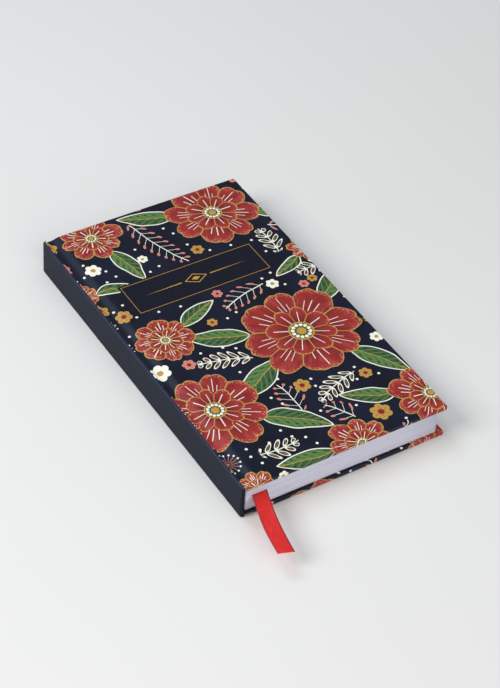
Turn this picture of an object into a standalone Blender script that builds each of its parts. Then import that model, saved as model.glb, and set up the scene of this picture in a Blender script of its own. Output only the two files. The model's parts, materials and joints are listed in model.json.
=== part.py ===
"""A slim hardback birthday book with a ribbon marker, built piece by piece as it is bound.

Metres, +Z up. The closed book lies on its back cover on z = 0 and is centred on the origin:
the spine faces -X, the fore edge +X, the head +Y and the tail -Y, where the ribbon comes out.
Lengths across the book are measured from the outer face of the spine ("reach").
"""
import math

import bmesh
import bpy
from mathutils import Matrix, Vector

MM = 0.001

# Case
CASE_WIDTH = 98.6 * MM
CASE_HEIGHT = 170.0 * MM
COVER_BOARD = 1.75 * MM
SPINE_BOARD = 1.0 * MM
WRAP = 0.20 * MM
TURN_IN = 15.0 * MM
EDGE_ROUND = 1.6 * WRAP
GROOVE_FLOOR = 1.75 * MM
GROOVE_RISE = 1.6 * MM
BOARD_BEVEL = 0.12 * MM

# Endpapers and text block
ENDPAPER = 0.15 * MM
LEAF = 0.113 * MM
LEAVES_PER_SECTION = 8
SECTIONS = 12
FIXED_SECTIONS = 2
FORE_SQUARE = 3.4 * MM
END_SQUARE = 1.35 * MM
HOLLOW = 1.24 * MM
LINING = 0.25 * MM
LINING_SETBACK = 8.0 * MM

# Ribbon marker
RIBBON_WIDTH = 7.0 * MM
RIBBON = 0.20 * MM
RIBBON_AFTER = 5
RIBBON_EXIT = 7.97 * MM
RIBBON_LEAN = 1.0 * MM
RIBBON_HEAD_GAP = 6.0 * MM
TAIL_REACH = 31.7 * MM
TAIL_SWAY = 8.36 * MM
TAIL_BOW = 0.144
TAIL_ARCH = 0.5 * MM
TAIL_TURN = math.radians(24.0)

# Clearances
GLUE = 0.03 * MM
AIR = 0.04 * MM
HINGE_GAP = 0.14 * MM
HINGE_CLEAR = 0.05 * MM
FOLD_PIVOT = 0.20 * MM
LINING_CLEAR = 0.35 * MM
CUT = 1.0 * MM

# Fits worked out from the sizes above
SPINE_PANEL = 2.0 * WRAP + 2.0 * GLUE + SPINE_BOARD
COVER = 2.0 * WRAP + 2.0 * GLUE + COVER_BOARD
HINGE = SPINE_PANEL + HINGE_GAP
GROOVE_START = HINGE + GROOVE_FLOOR
GROOVE_END = GROOVE_START + GROOVE_RISE
FOLD = SPINE_PANEL + HOLLOW
SECTION = LEAVES_PER_SECTION * LEAF
PAGE_END = CASE_WIDTH - FORE_SQUARE
HALF_CASE = 0.5 * CASE_HEIGHT
HALF_BLOCK = HALF_CASE - END_SQUARE
FLYLEAF_DEPTH = COVER + GLUE + ENDPAPER + AIR
BLOCK_DEPTH = FLYLEAF_DEPTH + ENDPAPER + AIR
BLOCK = SECTIONS * SECTION + (SECTIONS - 1) * AIR + RIBBON + AIR
THICKNESS = 2.0 * BLOCK_DEPTH + BLOCK

GREYBOARD = (0.36, 0.34, 0.31)
PRINT = (0.030, 0.036, 0.100)
SPINE_NAVY = (0.026, 0.030, 0.050)
ENDPAPER_WHITE = (0.68, 0.65, 0.70)
PAGE_WHITE = (0.62, 0.59, 0.66)
GAUZE = (0.70, 0.68, 0.60)
SATIN_RED = (0.74, 0.021, 0.021)

for old in list(bpy.data.objects):
    bpy.data.objects.remove(old, do_unlink=True)


def world(reach, y, z):
    """Point of the part's frame, with the reach measured from the spine's outer face."""
    return Vector((reach - 0.5 * CASE_WIDTH, y, z))


def material(name, colour, roughness):
    """Principled material of one piece."""
    made = bpy.data.materials.new(name)
    made.use_nodes = True
    shader = made.node_tree.nodes["Principled BSDF"]
    shader.inputs["Base Color"].default_value = (*colour, 1.0)
    shader.inputs["Roughness"].default_value = roughness
    made.diffuse_color = (*colour, 1.0)
    return made


def loft(rings):
    """Closed mesh through rings of equally many points, with a flat cap on both ends."""
    made = bmesh.new()
    rows = [[made.verts.new(point) for point in ring] for ring in rings]
    count = len(rows[0])
    for near, far in zip(rows, rows[1:]):
        for k in range(count):
            after = (k + 1) % count
            made.faces.new((near[k], near[after], far[after], far[k]))
    made.faces.new(rows[0])
    made.faces.new(list(reversed(rows[-1])))
    bmesh.ops.recalc_face_normals(made, faces=made.faces)
    return made


def box(reach, y, z):
    """Box between two reaches, two y and two z values."""
    corners = ((reach[0], z[0]), (reach[1], z[0]), (reach[1], z[1]), (reach[0], z[1]))
    return loft([[world(r, side, height) for r, height in corners] for side in y])


def piece(name, mesh, pivot, parent, colour, roughness):
    """Object with its own material, its origin on the pivot and placed under its parent."""
    data = bpy.data.meshes.new(name)
    bmesh.ops.transform(mesh, matrix=Matrix.Translation(-pivot), verts=mesh.verts)
    mesh.to_mesh(data)
    mesh.free()
    made = bpy.data.objects.new(name, data)
    bpy.context.scene.collection.objects.link(made)
    data.materials.append(material(name, colour, roughness))
    hang(made, pivot, parent)
    return made


def hang(made, point, parent):
    """Place an object at a point of the frame, under a parent that is turned nowhere."""
    made["place"] = tuple(point)
    made.location = point
    if parent is not None:
        made.parent = parent
        made.location = point - Vector(parent["place"])


def axis_empty(name, point, parent):
    """Empty on a joint axis."""
    made = bpy.data.objects.new(name, None)
    made.empty_display_size = 0.01
    bpy.context.scene.collection.objects.link(made)
    hang(made, point, parent)
    return made


def cut(target, name, mesh):
    """Take a hidden cutter's shape out of a piece."""
    cutter = piece(name, mesh, Vector((0.0, 0.0, 0.0)), None, GREYBOARD, 0.8)
    cutter.hide_render = True
    cutter.display_type = 'WIRE'
    step = target.modifiers.new(name, 'BOOLEAN')
    step.operation = 'DIFFERENCE'
    step.solver = 'EXACT'
    step.object = cutter


def arc(centre, radius, first, last, steps):
    """Points of a circular arc in the (reach, depth) plane, angles in degrees."""
    points = []
    for k in range(steps + 1):
        angle = math.radians(first + (last - first) * k / steps)
        points.append((centre[0] + radius * math.cos(angle), centre[1] + radius * math.sin(angle)))
    return points


def end_rings():
    """Distance y and inset of each ring of a wrapped panel, rounded at the tail and at the head."""
    rings = []
    for degrees in (0, 30, 60, 90):
        angle = math.radians(degrees)
        back = EDGE_ROUND * (1.0 - math.cos(angle))
        inset = EDGE_ROUND * (1.0 - math.sin(angle))
        rings.append((-HALF_CASE + back, inset))
    return rings + [(-y, inset) for y, inset in reversed(rings)]


def groove_depth(reach):
    """Depth of the cover's outer face: flat groove floor, cosine flank, then the board's face."""
    share = min(max((reach - GROOVE_START) / GROOVE_RISE, 0.0), 1.0)
    return HINGE * 0.5 * (1.0 + math.cos(math.pi * share))


def flank_reaches():
    """Reaches of the points along the groove's flank."""
    return [GROOVE_START + GROOVE_RISE * k / 10 for k in range(11)]


def cover_outline(inset):
    """Outline of a wrapped cover in (reach, depth), from the hinge line round the fore edge."""
    edge = CASE_WIDTH - inset
    points = [(HINGE + HINGE_CLEAR, HINGE + inset)]
    points += [(r, groove_depth(r) + inset) for r in flank_reaches()]
    points += arc((edge - EDGE_ROUND, inset + EDGE_ROUND), EDGE_ROUND, -90, 0, 4)
    points += arc((edge - WRAP, COVER - WRAP), WRAP, 0, 90, 3)
    points.append((HINGE + HINGE_CLEAR, COVER))
    return points


def cover_hollow():
    """Room inside a cover's wrap for its board, open at the hinge line."""
    floor = COVER - WRAP
    points = [(HINGE - CUT, HINGE + WRAP)]
    points += [(r, groove_depth(r) + WRAP) for r in flank_reaches()]
    points += [(CASE_WIDTH - WRAP, WRAP), (CASE_WIDTH - WRAP, floor), (HINGE - CUT, floor)]
    return points


def cover(side, height, parent):
    """Board, wrap and pastedown of one cover; height turns a depth into a z value."""
    pivot = world(HINGE, 0.0, height(HINGE))

    def prism(points, half):
        return loft([[world(r, y, height(d)) for r, d in points] for y in (-half, half)])

    rings = [[world(r, y, height(d)) for r, d in cover_outline(inset)] for y, inset in end_rings()]
    wrap = piece(side + "_wrap", loft(rings), pivot, parent, PRINT, 0.55)
    cut(wrap, side + "_wrap_hollow", prism(cover_hollow(), HALF_CASE - WRAP))
    window = [(HINGE - 2.0 * CUT, COVER - WRAP - AIR), (CASE_WIDTH - TURN_IN, COVER - WRAP - AIR),
              (CASE_WIDTH - TURN_IN, COVER + CUT), (HINGE - 2.0 * CUT, COVER + CUT)]
    cut(wrap, side + "_wrap_window", prism(window, HALF_CASE - TURN_IN))

    top = WRAP + GLUE
    board_mesh = box((GROOVE_END + GLUE, CASE_WIDTH - top), (-HALF_CASE + top, HALF_CASE - top),
                     (height(top), height(top + COVER_BOARD)))
    board = piece(side + "_board", board_mesh, pivot, parent, GREYBOARD, 0.85)
    round_off = board.modifiers.new("corners", 'BEVEL')
    round_off.width = BOARD_BEVEL
    round_off.segments = 2

    paste = COVER + GLUE
    sheet(side + "_pastedown", height(paste), height(paste + ENDPAPER), pivot, parent)
    sheet(side + "_flyleaf", height(FLYLEAF_DEPTH), height(FLYLEAF_DEPTH + ENDPAPER), pivot, parent)


def sheet(name, z_first, z_last, pivot, parent):
    """One half of a folded endpaper, the size of the page."""
    made = box((FOLD, PAGE_END), (-HALF_BLOCK, HALF_BLOCK), (z_first, z_last))
    piece(name, made, pivot, parent, ENDPAPER_WHITE, 0.75)


def spine_outline(inset):
    """Outline of the wrapped spine in (reach, z), rounded on its two outer edges."""
    low = inset
    high = THICKNESS - inset
    points = [(SPINE_PANEL, low)]
    points += arc((inset + EDGE_ROUND, low + EDGE_ROUND), EDGE_ROUND, 270, 180, 4)
    points += arc((inset + EDGE_ROUND, high - EDGE_ROUND), EDGE_ROUND, 180, 90, 4)
    points.append((SPINE_PANEL, high))
    return points


def spine(parent):
    """Spine board in its wrap, and the lining glued along the folds."""
    pivot = world(HINGE, 0.0, HINGE)
    rings = [[world(r, y, z) for r, z in spine_outline(inset)] for y, inset in end_rings()]
    wrap = piece("spine_wrap", loft(rings), pivot, parent, SPINE_NAVY, 0.6)
    hollow = box((WRAP, SPINE_PANEL - WRAP), (-HALF_CASE + WRAP, HALF_CASE - WRAP),
                 (WRAP, THICKNESS - WRAP))
    cut(wrap, "spine_wrap_hollow", hollow)
    window = box((SPINE_PANEL - WRAP - AIR, SPINE_PANEL + CUT),
                 (-HALF_CASE + TURN_IN, HALF_CASE - TURN_IN), (HINGE, THICKNESS - HINGE))
    cut(wrap, "spine_wrap_window", window)

    rim = WRAP + GLUE
    board_mesh = box((rim, rim + SPINE_BOARD), (-HALF_CASE + rim, HALF_CASE - rim),
                     (rim, THICKNESS - rim))
    board = piece("spine_board", board_mesh, pivot, parent, GREYBOARD, 0.85)
    round_off = board.modifiers.new("corners", 'BEVEL')
    round_off.width = BOARD_BEVEL
    round_off.segments = 2

    back = FOLD - LINING_CLEAR
    lining = box((back - LINING, back), (-HALF_BLOCK + LINING_SETBACK, HALF_BLOCK - LINING_SETBACK),
                 (BLOCK_DEPTH, THICKNESS - BLOCK_DEPTH))
    piece("spine_lining", lining, pivot, parent, GAUZE, 0.9)


def section_floor(number):
    """Lowest z of a section, counted from the front cover down."""
    below = SECTIONS - number
    floor = BLOCK_DEPTH + below * (SECTION + AIR)
    if number <= RIBBON_AFTER:
        floor += RIBBON + AIR
    return floor


def section(number, parents):
    """One folded section: leaves with a round fold at the spine."""
    floor = section_floor(number)
    middle = floor + 0.5 * SECTION
    half = 0.5 * SECTION
    outline = arc((FOLD + half, middle), half, 90, 270, 10)
    outline += [(PAGE_END, floor), (PAGE_END, floor + SECTION)]
    rings = [[world(r, y, z) for r, z in outline] for y in (-HALF_BLOCK, HALF_BLOCK)]
    pivot = world(FOLD - FOLD_PIVOT, 0.0, middle)
    parent = parents["spine"]
    if number <= FIXED_SECTIONS:
        parent = parents["front"]
    elif number > SECTIONS - FIXED_SECTIONS:
        parent = None
    return piece("section_%02d" % number, loft(rings), pivot, parent, PAGE_WHITE, 0.8)


def ribbon(parent):
    """Marker lying in the book from the head to the tail, and its loose tail outside."""
    low = section_floor(RIBBON_AFTER + 1) + SECTION + AIR
    half = 0.5 * RIBBON_WIDTH
    rings = []
    for y, lean in ((-HALF_BLOCK, 0.0), (HALF_BLOCK - RIBBON_HEAD_GAP, RIBBON_LEAN)):
        middle = RIBBON_EXIT - lean
        corners = ((middle - half, low), (middle + half, low),
                   (middle + half, low + RIBBON), (middle - half, low + RIBBON))
        rings.append([world(r, y, z) for r, z in corners])
    head = world(RIBBON_EXIT - RIBBON_LEAN, HALF_BLOCK - RIBBON_HEAD_GAP, low)
    piece("ribbon_marker", loft(rings), head, parent, SATIN_RED, 0.35)

    exit_point = world(RIBBON_EXIT, -HALF_BLOCK, low + 0.5 * RIBBON)
    hanging = axis_empty("ribbon_hang_axis", exit_point, parent)
    rings = [tail_ring(exit_point, k / 16) for k in range(17)]
    piece("ribbon_tail", loft(rings), exit_point, hanging, SATIN_RED, 0.35)


def tail_ring(exit_point, share):
    """Cross-section of the loose tail at a share of its way out."""
    swell = math.sin(math.pi * share)
    sway = -TAIL_SWAY * (share + TAIL_BOW * swell)
    middle = exit_point + Vector((sway, -AIR - TAIL_REACH * share, TAIL_ARCH * swell))
    turn = -TAIL_TURN * share * share * (3.0 - 2.0 * share)
    across = Vector((math.cos(turn), math.sin(turn), 0.0)) * (0.5 * RIBBON_WIDTH)
    up = Vector((0.0, 0.0, 0.5 * RIBBON))
    return [middle - across - up, middle + across - up, middle + across + up, middle - across + up]


spine_axis = axis_empty("spine_hinge_axis", world(HINGE, 0.0, HINGE), None)
front_axis = axis_empty("front_cover_hinge_axis", world(HINGE, 0.0, THICKNESS - HINGE), spine_axis)

cover("back", lambda depth: depth, None)
spine(spine_axis)
cover("front", lambda depth: THICKNESS - depth, front_axis)

folded = {}
for number in range(1, SECTIONS + 1):
    folded[number] = section(number, {"spine": spine_axis, "front": front_axis})
ribbon(folded[RIBBON_AFTER + 1])

print("book %.2f x %.2f x %.2f mm" % (CASE_WIDTH / MM, CASE_HEIGHT / MM, THICKNESS / MM))
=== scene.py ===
# %% [markdown]
# # A slim hardback birthday book
# The book is bound as a case: two boards in printed paper and a strip of board in plain dark paper
# between them. Folded sections of leaves are sewn inside, endpapers join them to the case, and a
# satin ribbon marks a place.
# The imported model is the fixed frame. Every surface below is worked out in millimetres from its
# boxes, measured across from the outer face of the spine, and lands in metres in the same frame.

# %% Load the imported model
import json
import math

import bmesh
import bpy
import numpy as np
from mathutils import Matrix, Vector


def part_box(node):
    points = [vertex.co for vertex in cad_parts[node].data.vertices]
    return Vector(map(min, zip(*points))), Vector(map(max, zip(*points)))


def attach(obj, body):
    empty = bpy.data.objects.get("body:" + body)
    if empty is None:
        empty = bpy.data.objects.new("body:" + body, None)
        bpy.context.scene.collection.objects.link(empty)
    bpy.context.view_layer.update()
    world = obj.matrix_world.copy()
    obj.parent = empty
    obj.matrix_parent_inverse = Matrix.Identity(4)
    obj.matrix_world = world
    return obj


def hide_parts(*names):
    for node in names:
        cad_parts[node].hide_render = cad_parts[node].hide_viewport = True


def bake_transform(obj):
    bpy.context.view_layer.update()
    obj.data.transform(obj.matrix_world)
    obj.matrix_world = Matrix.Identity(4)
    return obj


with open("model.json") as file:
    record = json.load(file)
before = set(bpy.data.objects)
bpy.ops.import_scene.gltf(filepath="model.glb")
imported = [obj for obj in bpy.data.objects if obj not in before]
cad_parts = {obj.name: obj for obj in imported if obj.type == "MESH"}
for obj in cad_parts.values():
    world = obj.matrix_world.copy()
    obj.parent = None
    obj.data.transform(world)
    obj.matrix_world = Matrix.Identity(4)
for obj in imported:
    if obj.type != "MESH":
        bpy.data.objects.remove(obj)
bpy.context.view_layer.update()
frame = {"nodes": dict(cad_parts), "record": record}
MM = 0.001

# %% [markdown]
# ## Sizes
# The case, the page and the stack heights could be typed in. They are read from the solids instead,
# so the dressing follows the model. A "reach" is the distance from the spine's outer face and a
# "depth" the distance in from a cover's outer face.

# %% Sizes read from the solids, in millimetres
def node_box(name):
    """Lowest and highest corner of a CAD node in millimetres."""
    low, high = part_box(name)
    return np.array(low) / MM, np.array(high) / MM


spine_low, spine_high = node_box("spine_wrap")
front_low, front_high = node_box("front_wrap")
first_low, first_high = node_box("section_01")
SPINE_FACE = spine_low[0]
WIDTH = front_high[0] - SPINE_FACE
HALF = spine_high[1]
THICK = spine_high[2]
COVER = THICK - front_low[2]
PAGE_IN = first_low[0] - SPINE_FACE
PAGE_OUT = first_high[0] - SPINE_FACE
HALF_PAGE = first_high[1]
SECTION = first_high[2] - first_low[2]
PAPER = 0.20
SPINE_SLAB = spine_high[0] - SPINE_FACE - PAPER
print("case %.1f x %.1f x %.2f mm" % (WIDTH, 2 * HALF, THICK))

# %% [markdown]
# ## Meshes from arrays
# Paper bends along clear lines, so its shapes could be folded by hand out of planes. A grid is surer
# to follow the sizes: every row and column of points is computed at once, and the quads between them
# follow from counting. Several grids make one piece when their shared borders are welded.

# %% Grid helpers
WELD = 1e-7


def to_frame(reach, y, z):
    """Stack reach, y and z arrays in millimetres into points of the frame in metres."""
    reach, y, z = np.broadcast_arrays(reach, y, z)
    return np.stack((reach + SPINE_FACE, y, z), axis=-1) * MM


def grid_quads(rows, columns):
    """Corner numbers of the quads of a grid whose points are counted row by row."""
    corner = (np.arange(rows - 1)[:, None] * columns + np.arange(columns - 1)[None, :]).ravel()
    return np.stack((corner, corner + 1, corner + columns + 1, corner + columns), axis=1)


def piece_from_grids(name, grids, flats=None, closed=False):
    """Object from point grids; flats are the same grids on the flat sheet, in millimetres."""
    points = np.concatenate([g.reshape(-1, 3) for g in grids])
    starts = np.cumsum([0] + [g.shape[0] * g.shape[1] for g in grids[:-1]])
    quads = np.concatenate([grid_quads(*g.shape[:2]) + s for g, s in zip(grids, starts)])
    mesh = bpy.data.meshes.new(name)
    mesh.from_pydata(points.tolist(), [], quads.tolist())
    if flats is not None:
        flat = np.concatenate([f.reshape(-1, 2) for f in flats])[quads.ravel()]
        layer = mesh.uv_layers.new(name="sheet")
        layer.data.foreach_set("uv", flat.astype(np.float32).ravel())
    shell = bmesh.new()
    shell.from_mesh(mesh)
    bmesh.ops.remove_doubles(shell, verts=shell.verts, dist=WELD)
    bmesh.ops.dissolve_degenerate(shell, edges=shell.edges, dist=WELD)
    if closed:
        bmesh.ops.recalc_face_normals(shell, faces=shell.faces)
    shell.to_mesh(mesh)
    shell.free()
    mesh.shade_smooth()
    made = bpy.data.objects.new(name, mesh)
    bpy.context.scene.collection.objects.link(made)
    print(name, len(mesh.polygons), "faces")
    return made


def arc_points(centre, radius, first, last, count):
    """Points of an arc: centre plus radius times cosine and sine of evenly spaced angles."""
    angle = np.radians(np.linspace(first, last, count))
    return np.stack((centre[0] + radius * np.cos(angle), centre[1] + radius * np.sin(angle)), axis=1)


# %% [markdown]
# ## Camera
# The camera could be placed by eye. A perspective fit of the book's corners is closer, and gives the
# place, the aim and the lens. The lens is more than twice as long as a normal one, so the sides of
# the book stay close to parallel.

# %% Camera at the photograph's angle
CAMERA_PLACE = (-0.36449, -0.54023, 0.60152)
CAMERA_RIGHT = np.array((0.85105, -0.52198, 0.05704))
CAMERA_FORWARD = np.array((0.41775, 0.60726, -0.67581))
FOCAL_PIXELS = 2058.14
IMAGE_HEIGHT = 688
SENSOR_HEIGHT = 36.0

forward = CAMERA_FORWARD / np.linalg.norm(CAMERA_FORWARD)
right = CAMERA_RIGHT - forward * (CAMERA_RIGHT @ forward)
right = right / np.linalg.norm(right)
above = np.cross(right, forward)
lens = bpy.data.cameras.new("camera")
lens.sensor_fit = 'VERTICAL'
lens.sensor_height = SENSOR_HEIGHT
lens.lens = FOCAL_PIXELS / IMAGE_HEIGHT * SENSOR_HEIGHT
lens.clip_start = 0.01
camera = bpy.data.objects.new("camera", lens)
bpy.context.scene.collection.objects.link(camera)
turn = np.eye(4)
turn[:3, 0], turn[:3, 1], turn[:3, 2], turn[:3, 3] = right, above, -forward, CAMERA_PLACE
camera.matrix_world = Matrix(turn.tolist())
bpy.context.scene.camera = camera
print("lens %.1f mm" % lens.lens)

# %% [markdown]
# ## Ribbon marker
# The real ribbon is glued in at the head, lies between two sections and comes out at the tail,
# where its cut end stands out level and sways towards the spine. A curve with a flat profile could
# make it, but its cut would always be square. This strip is a centre line and a direction across it,
# which turns towards the end and so slants the cut.

# %% Ribbon: centre line, then a strip across it
RIBBON_WIDTH = 7.0
RIBBON_THICK = 0.18
RIBBON_EXIT = 9.0
RIBBON_LEAN = 1.0
TAIL_REACH = 32.0
TAIL_SWAY = 7.65
TAIL_BOW = 0.16
TAIL_ARCH = 0.5
TAIL_TURN = math.radians(18.5)
TAIL_CUP = 0.22
TAIL_RIPPLE = 0.10
BEND_START = 0.2
BEND_END = 14.0

ribbon_low, ribbon_high = node_box("ribbon_marker")
RIBBON_LEVEL = 0.5 * (ribbon_low[2] + ribbon_high[2])
RIBBON_HEAD = ribbon_high[1]


def ribbon_line(inside, outside):
    """Centre line: straight from head to exit, then the tail's sway and arch as sines of its share."""
    along = np.linspace(0.0, 1.0, inside, endpoint=False)
    reach_in = RIBBON_EXIT - RIBBON_LEAN * (1.0 - along)
    y_in = RIBBON_HEAD + (-HALF_PAGE - RIBBON_HEAD) * along
    share = np.linspace(0.0, 1.0, outside)
    swell = np.sin(np.pi * share)
    reach_out = RIBBON_EXIT - TAIL_SWAY * (share + TAIL_BOW * swell)
    y_out = -HALF_PAGE - TAIL_REACH * share
    level = np.concatenate((np.zeros(inside), TAIL_ARCH * swell)) + RIBBON_LEVEL
    turn_out = -TAIL_TURN * share * share * (3.0 - 2.0 * share)
    yaw = np.concatenate((np.zeros(inside), turn_out))
    return np.concatenate((reach_in, reach_out)), np.concatenate((y_in, y_out)), level, yaw


def ribbon_strip(across_count):
    """Strip: centre line plus the across direction times the half width, cupped and rippled outside."""
    reach, y, level, yaw = ribbon_line(60, 64)
    across = np.linspace(-0.5, 0.5, across_count)[None, :] * (RIBBON_WIDTH - 0.1)
    outside = np.clip((-HALF_PAGE - y) / TAIL_REACH, 0.0, 1.0)[:, None]
    bulge = (2 * across / RIBBON_WIDTH) ** 2 - 0.4
    cup = TAIL_CUP * np.sin(np.pi * np.minimum(outside * 1.6, 1.0)) * bulge
    ripple = TAIL_RIPPLE * np.sin(9.0 * outside + 0.5 * across) * outside
    points = to_frame(reach[:, None] + across * np.cos(yaw)[:, None],
                      y[:, None] + across * np.sin(yaw)[:, None], level[:, None] + cup + ripple)
    run = np.concatenate(([0.0], np.cumsum(np.hypot(np.diff(reach), np.diff(y)))))
    flat = np.stack(np.broadcast_arrays(across, run[:, None]), axis=-1)
    return points, flat, to_frame(reach, y, level)


strip, strip_flat, ribbon_path = ribbon_strip(13)
ribbon = piece_from_grids("satin_ribbon", [strip], [strip_flat])
ribbon_wall = ribbon.modifiers.new("thickness", 'SOLIDIFY')
ribbon_wall.thickness = RIBBON_THICK * MM
ribbon_wall.offset = 0.0
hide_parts("ribbon_marker", "ribbon_tail")
tuple(to_frame(RIBBON_EXIT, -HALF_PAGE + BEND_START, RIBBON_LEVEL))
tuple(to_frame(RIBBON_EXIT, -HALF_PAGE - BEND_END, RIBBON_LEVEL))
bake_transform(ribbon)

# %% [markdown]
# ## Printed paper over the covers
# A binder glues a printed sheet over each board, presses a crease into it beside the spine and
# turns it in over three edges. A plane could be draped over the boards by simulation, but the path
# of a pressed sheet is known, so it is computed. First comes its profile, which leaves the top of the
# spine, dips into the crease and runs over the flat board.

# %% Profile across the cover
EDGE = 0.45
FLAT_END = WIDTH - EDGE
FLAT_HALF = HALF - EDGE
SEAM = 0.96
RIDGE_TILT = 0.10
CREASE = 1.10
CREASE_PLACES = (1.40, 2.10, 3.40, 8.80)
SEAM_SUPPORT = 0.02


def cover_profile():
    """Reach, depth and flat place: tilted ridge, cosine down into the crease, cosine up, flat board."""
    fall, floor, rise, level = CREASE_PLACES
    reach = np.concatenate(((SEAM,), np.linspace(SEAM + SEAM_SUPPORT, fall, 5)[:-1],
                            np.linspace(fall, floor, 11), np.linspace(floor, rise, 8)[1:-1],
                            np.linspace(rise, level, 21), np.linspace(level, FLAT_END, 81)[1:]))
    down = 0.5 - 0.5 * np.cos(np.pi * np.clip((reach - fall) / (floor - fall), 0.0, 1.0))
    up = 0.5 - 0.5 * np.cos(np.pi * np.clip((reach - rise) / (level - rise), 0.0, 1.0))
    depth = CREASE * (down - up) + RIDGE_TILT * np.maximum(fall - reach, 0.0)
    run = np.concatenate(([0.0], np.cumsum(np.hypot(np.diff(reach), np.diff(depth)))))
    return reach, depth, run - run[-1] + FLAT_END


print("crease %.2f mm deep, %d columns" % (CREASE, len(cover_profile()[0])))

# %% [markdown]
# At each edge the sheet rolls over the board and runs back along the inside. A bevel could round the
# edge, but it would not keep the length of the paper. The roll is a line of arcs and straights, and
# its run is the length of paper used up so far.

# %% Roll round the edges
INNER_EDGE = 0.28
TURN_IN = 15.0


def edge_roll():
    """Outward offset, share of the depth and run of the roll: arc, edge face, arc, then the turn-in."""
    outer = arc_points((0.0, EDGE), EDGE, -90, 0, 6)
    inner = arc_points((EDGE - INNER_EDGE, COVER - INNER_EDGE), INNER_EDGE, 0, 90, 5)
    back = np.stack((-np.linspace(0.0, TURN_IN, 9), np.full(9, COVER)), axis=1)
    line = np.concatenate((outer, inner, back))
    run = np.concatenate(([0.0], np.cumsum(np.linalg.norm(np.diff(line, axis=0), axis=1))))
    return line[:, 0], line[:, 1] / COVER, run


print("roll and turn-in take %.1f mm of paper" % edge_roll()[2][-1])

# %% [markdown]
# The sheet of a cover is the profile carried from tail to head, with a roll on three sides and corners
# spun between them; the turn-ins are mitred, as a binder cuts them. Every point also keeps its place
# on the flat sheet, so the print runs over the edges without a break.

# %% Grids of a cover's sheet
SHEET_ROWS = 141
ROLL_ROOM = 0.02


def cover_sheet(height):
    """All grids of a cover's sheet and their flat places; height turns a depth into a z value."""
    reach, depth, flat_reach = cover_profile()
    offset, share, run = edge_roll()
    inward = np.maximum(-offset, 0.0)
    y = np.linspace(-FLAT_HALF, FLAT_HALF, SHEET_ROWS)
    grids = [to_frame(reach[None, :], y[:, None], height(depth)[None, :])]
    flats = [np.stack(np.broadcast_arrays(flat_reach[None, :], y[:, None]), axis=-1)]
    fore_y = y[:, None] * (FLAT_HALF - inward[None, :]) / FLAT_HALF
    grids.append(to_frame(FLAT_END + offset[None, :], fore_y, height(COVER * share)[None, :]))
    flats.append(np.stack(np.broadcast_arrays(FLAT_END + run[None, :], y[:, None]), axis=-1))
    first = int(np.argmax(reach > SPINE_SLAB + ROLL_ROOM))
    rolled_part = slice(first, None)
    start = reach[first]
    for side in (-1.0, 1.0):
        squeeze = (FLAT_END - inward[:, None] - start) / (FLAT_END - start)
        across = start + (reach[None, rolled_part] - start) * squeeze
        drop = depth[None, rolled_part] + (COVER - depth[None, rolled_part]) * share[:, None]
        rolled = to_frame(across, side * (FLAT_HALF + offset[:, None]), height(drop))
        rolled_flat = np.stack(np.broadcast_arrays(flat_reach[None, rolled_part],
                                                   side * (FLAT_HALF + run[:, None])), axis=-1)
        spun = np.linspace(0.0, 0.5 * np.pi, 6)[:, None]
        keep = offset >= 0.0
        out, swept = offset[None, keep], run[None, keep]
        corner = to_frame(FLAT_END + out * np.cos(spun), side * (FLAT_HALF + out * np.sin(spun)),
                          height(COVER * share[None, keep]))
        corner_flat = np.stack(np.broadcast_arrays(FLAT_END + swept * np.cos(spun),
                                                   side * (FLAT_HALF + swept * np.sin(spun))), axis=-1)
        for points, flat in ((rolled, rolled_flat), (corner, corner_flat)):
            grids.append(points[::-1] if side < 0 else points)
            flats.append(flat[::-1] if side < 0 else flat)
    return grids, flats


# %% [markdown]
# The front and the back sheet are the same shape, one turned over. Both walls of the paper could be
# made as grids, but a Solidify modifier gives the thickness with less work.

# %% Front and back sheets
FOLD_START = 1.30
FOLD_END = 4.10


def front_height(depth):
    """Height of points at a depth in from the front cover's outer face."""
    return THICK - depth


def back_height(depth):
    """Height of points at a depth in from the back cover's outer face."""
    return depth


def wrap_cover(name, node, height, turned):
    """Printed sheet of one cover, dipped into the crease beside the spine."""
    grids, flats = cover_sheet(height)
    if turned:
        grids = [g[:, ::-1] for g in grids]
        flats = [f[:, ::-1] for f in flats]
    sheet = piece_from_grids(name, grids, flats)
    wall = sheet.modifiers.new("paper", 'SOLIDIFY')
    wall.thickness = PAPER * MM
    wall.offset = -1.0
    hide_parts(node)
    tuple(to_frame(FOLD_START, 0.0, 0.0))
    tuple(to_frame(FOLD_END, 0.0, 0.0))
    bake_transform(sheet)
    return sheet


front_sheet = wrap_cover("front_cover_print", "front_wrap", front_height, False)
back_sheet = wrap_cover("back_cover_print", "back_wrap", back_height, True)

# %% [markdown]
# ## Spine
# The spine is a stiff strip in plain dark paper, which rounds both shoulders and meets the covers'
# sheets on a narrow ridge. A bevelled box could stand for it, but has no room for the sheets. It is a
# ring of points carried from tail to head instead. The shoulders and the ends are parts of circles,
# the ridge rises a little inwards, and a shallow ledge along it takes the covers' sheets, so that
# both papers lie flush.

# %% Spine slab
SHOULDER = 0.50
SPINE_END = 1.10
LEDGE_PLAY = 0.01
LEDGE = PAPER + LEDGE_PLAY
END_RINGS = 5
MIDDLE_RINGS = 118
SHARP_ANGLE = math.radians(50.0)


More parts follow.
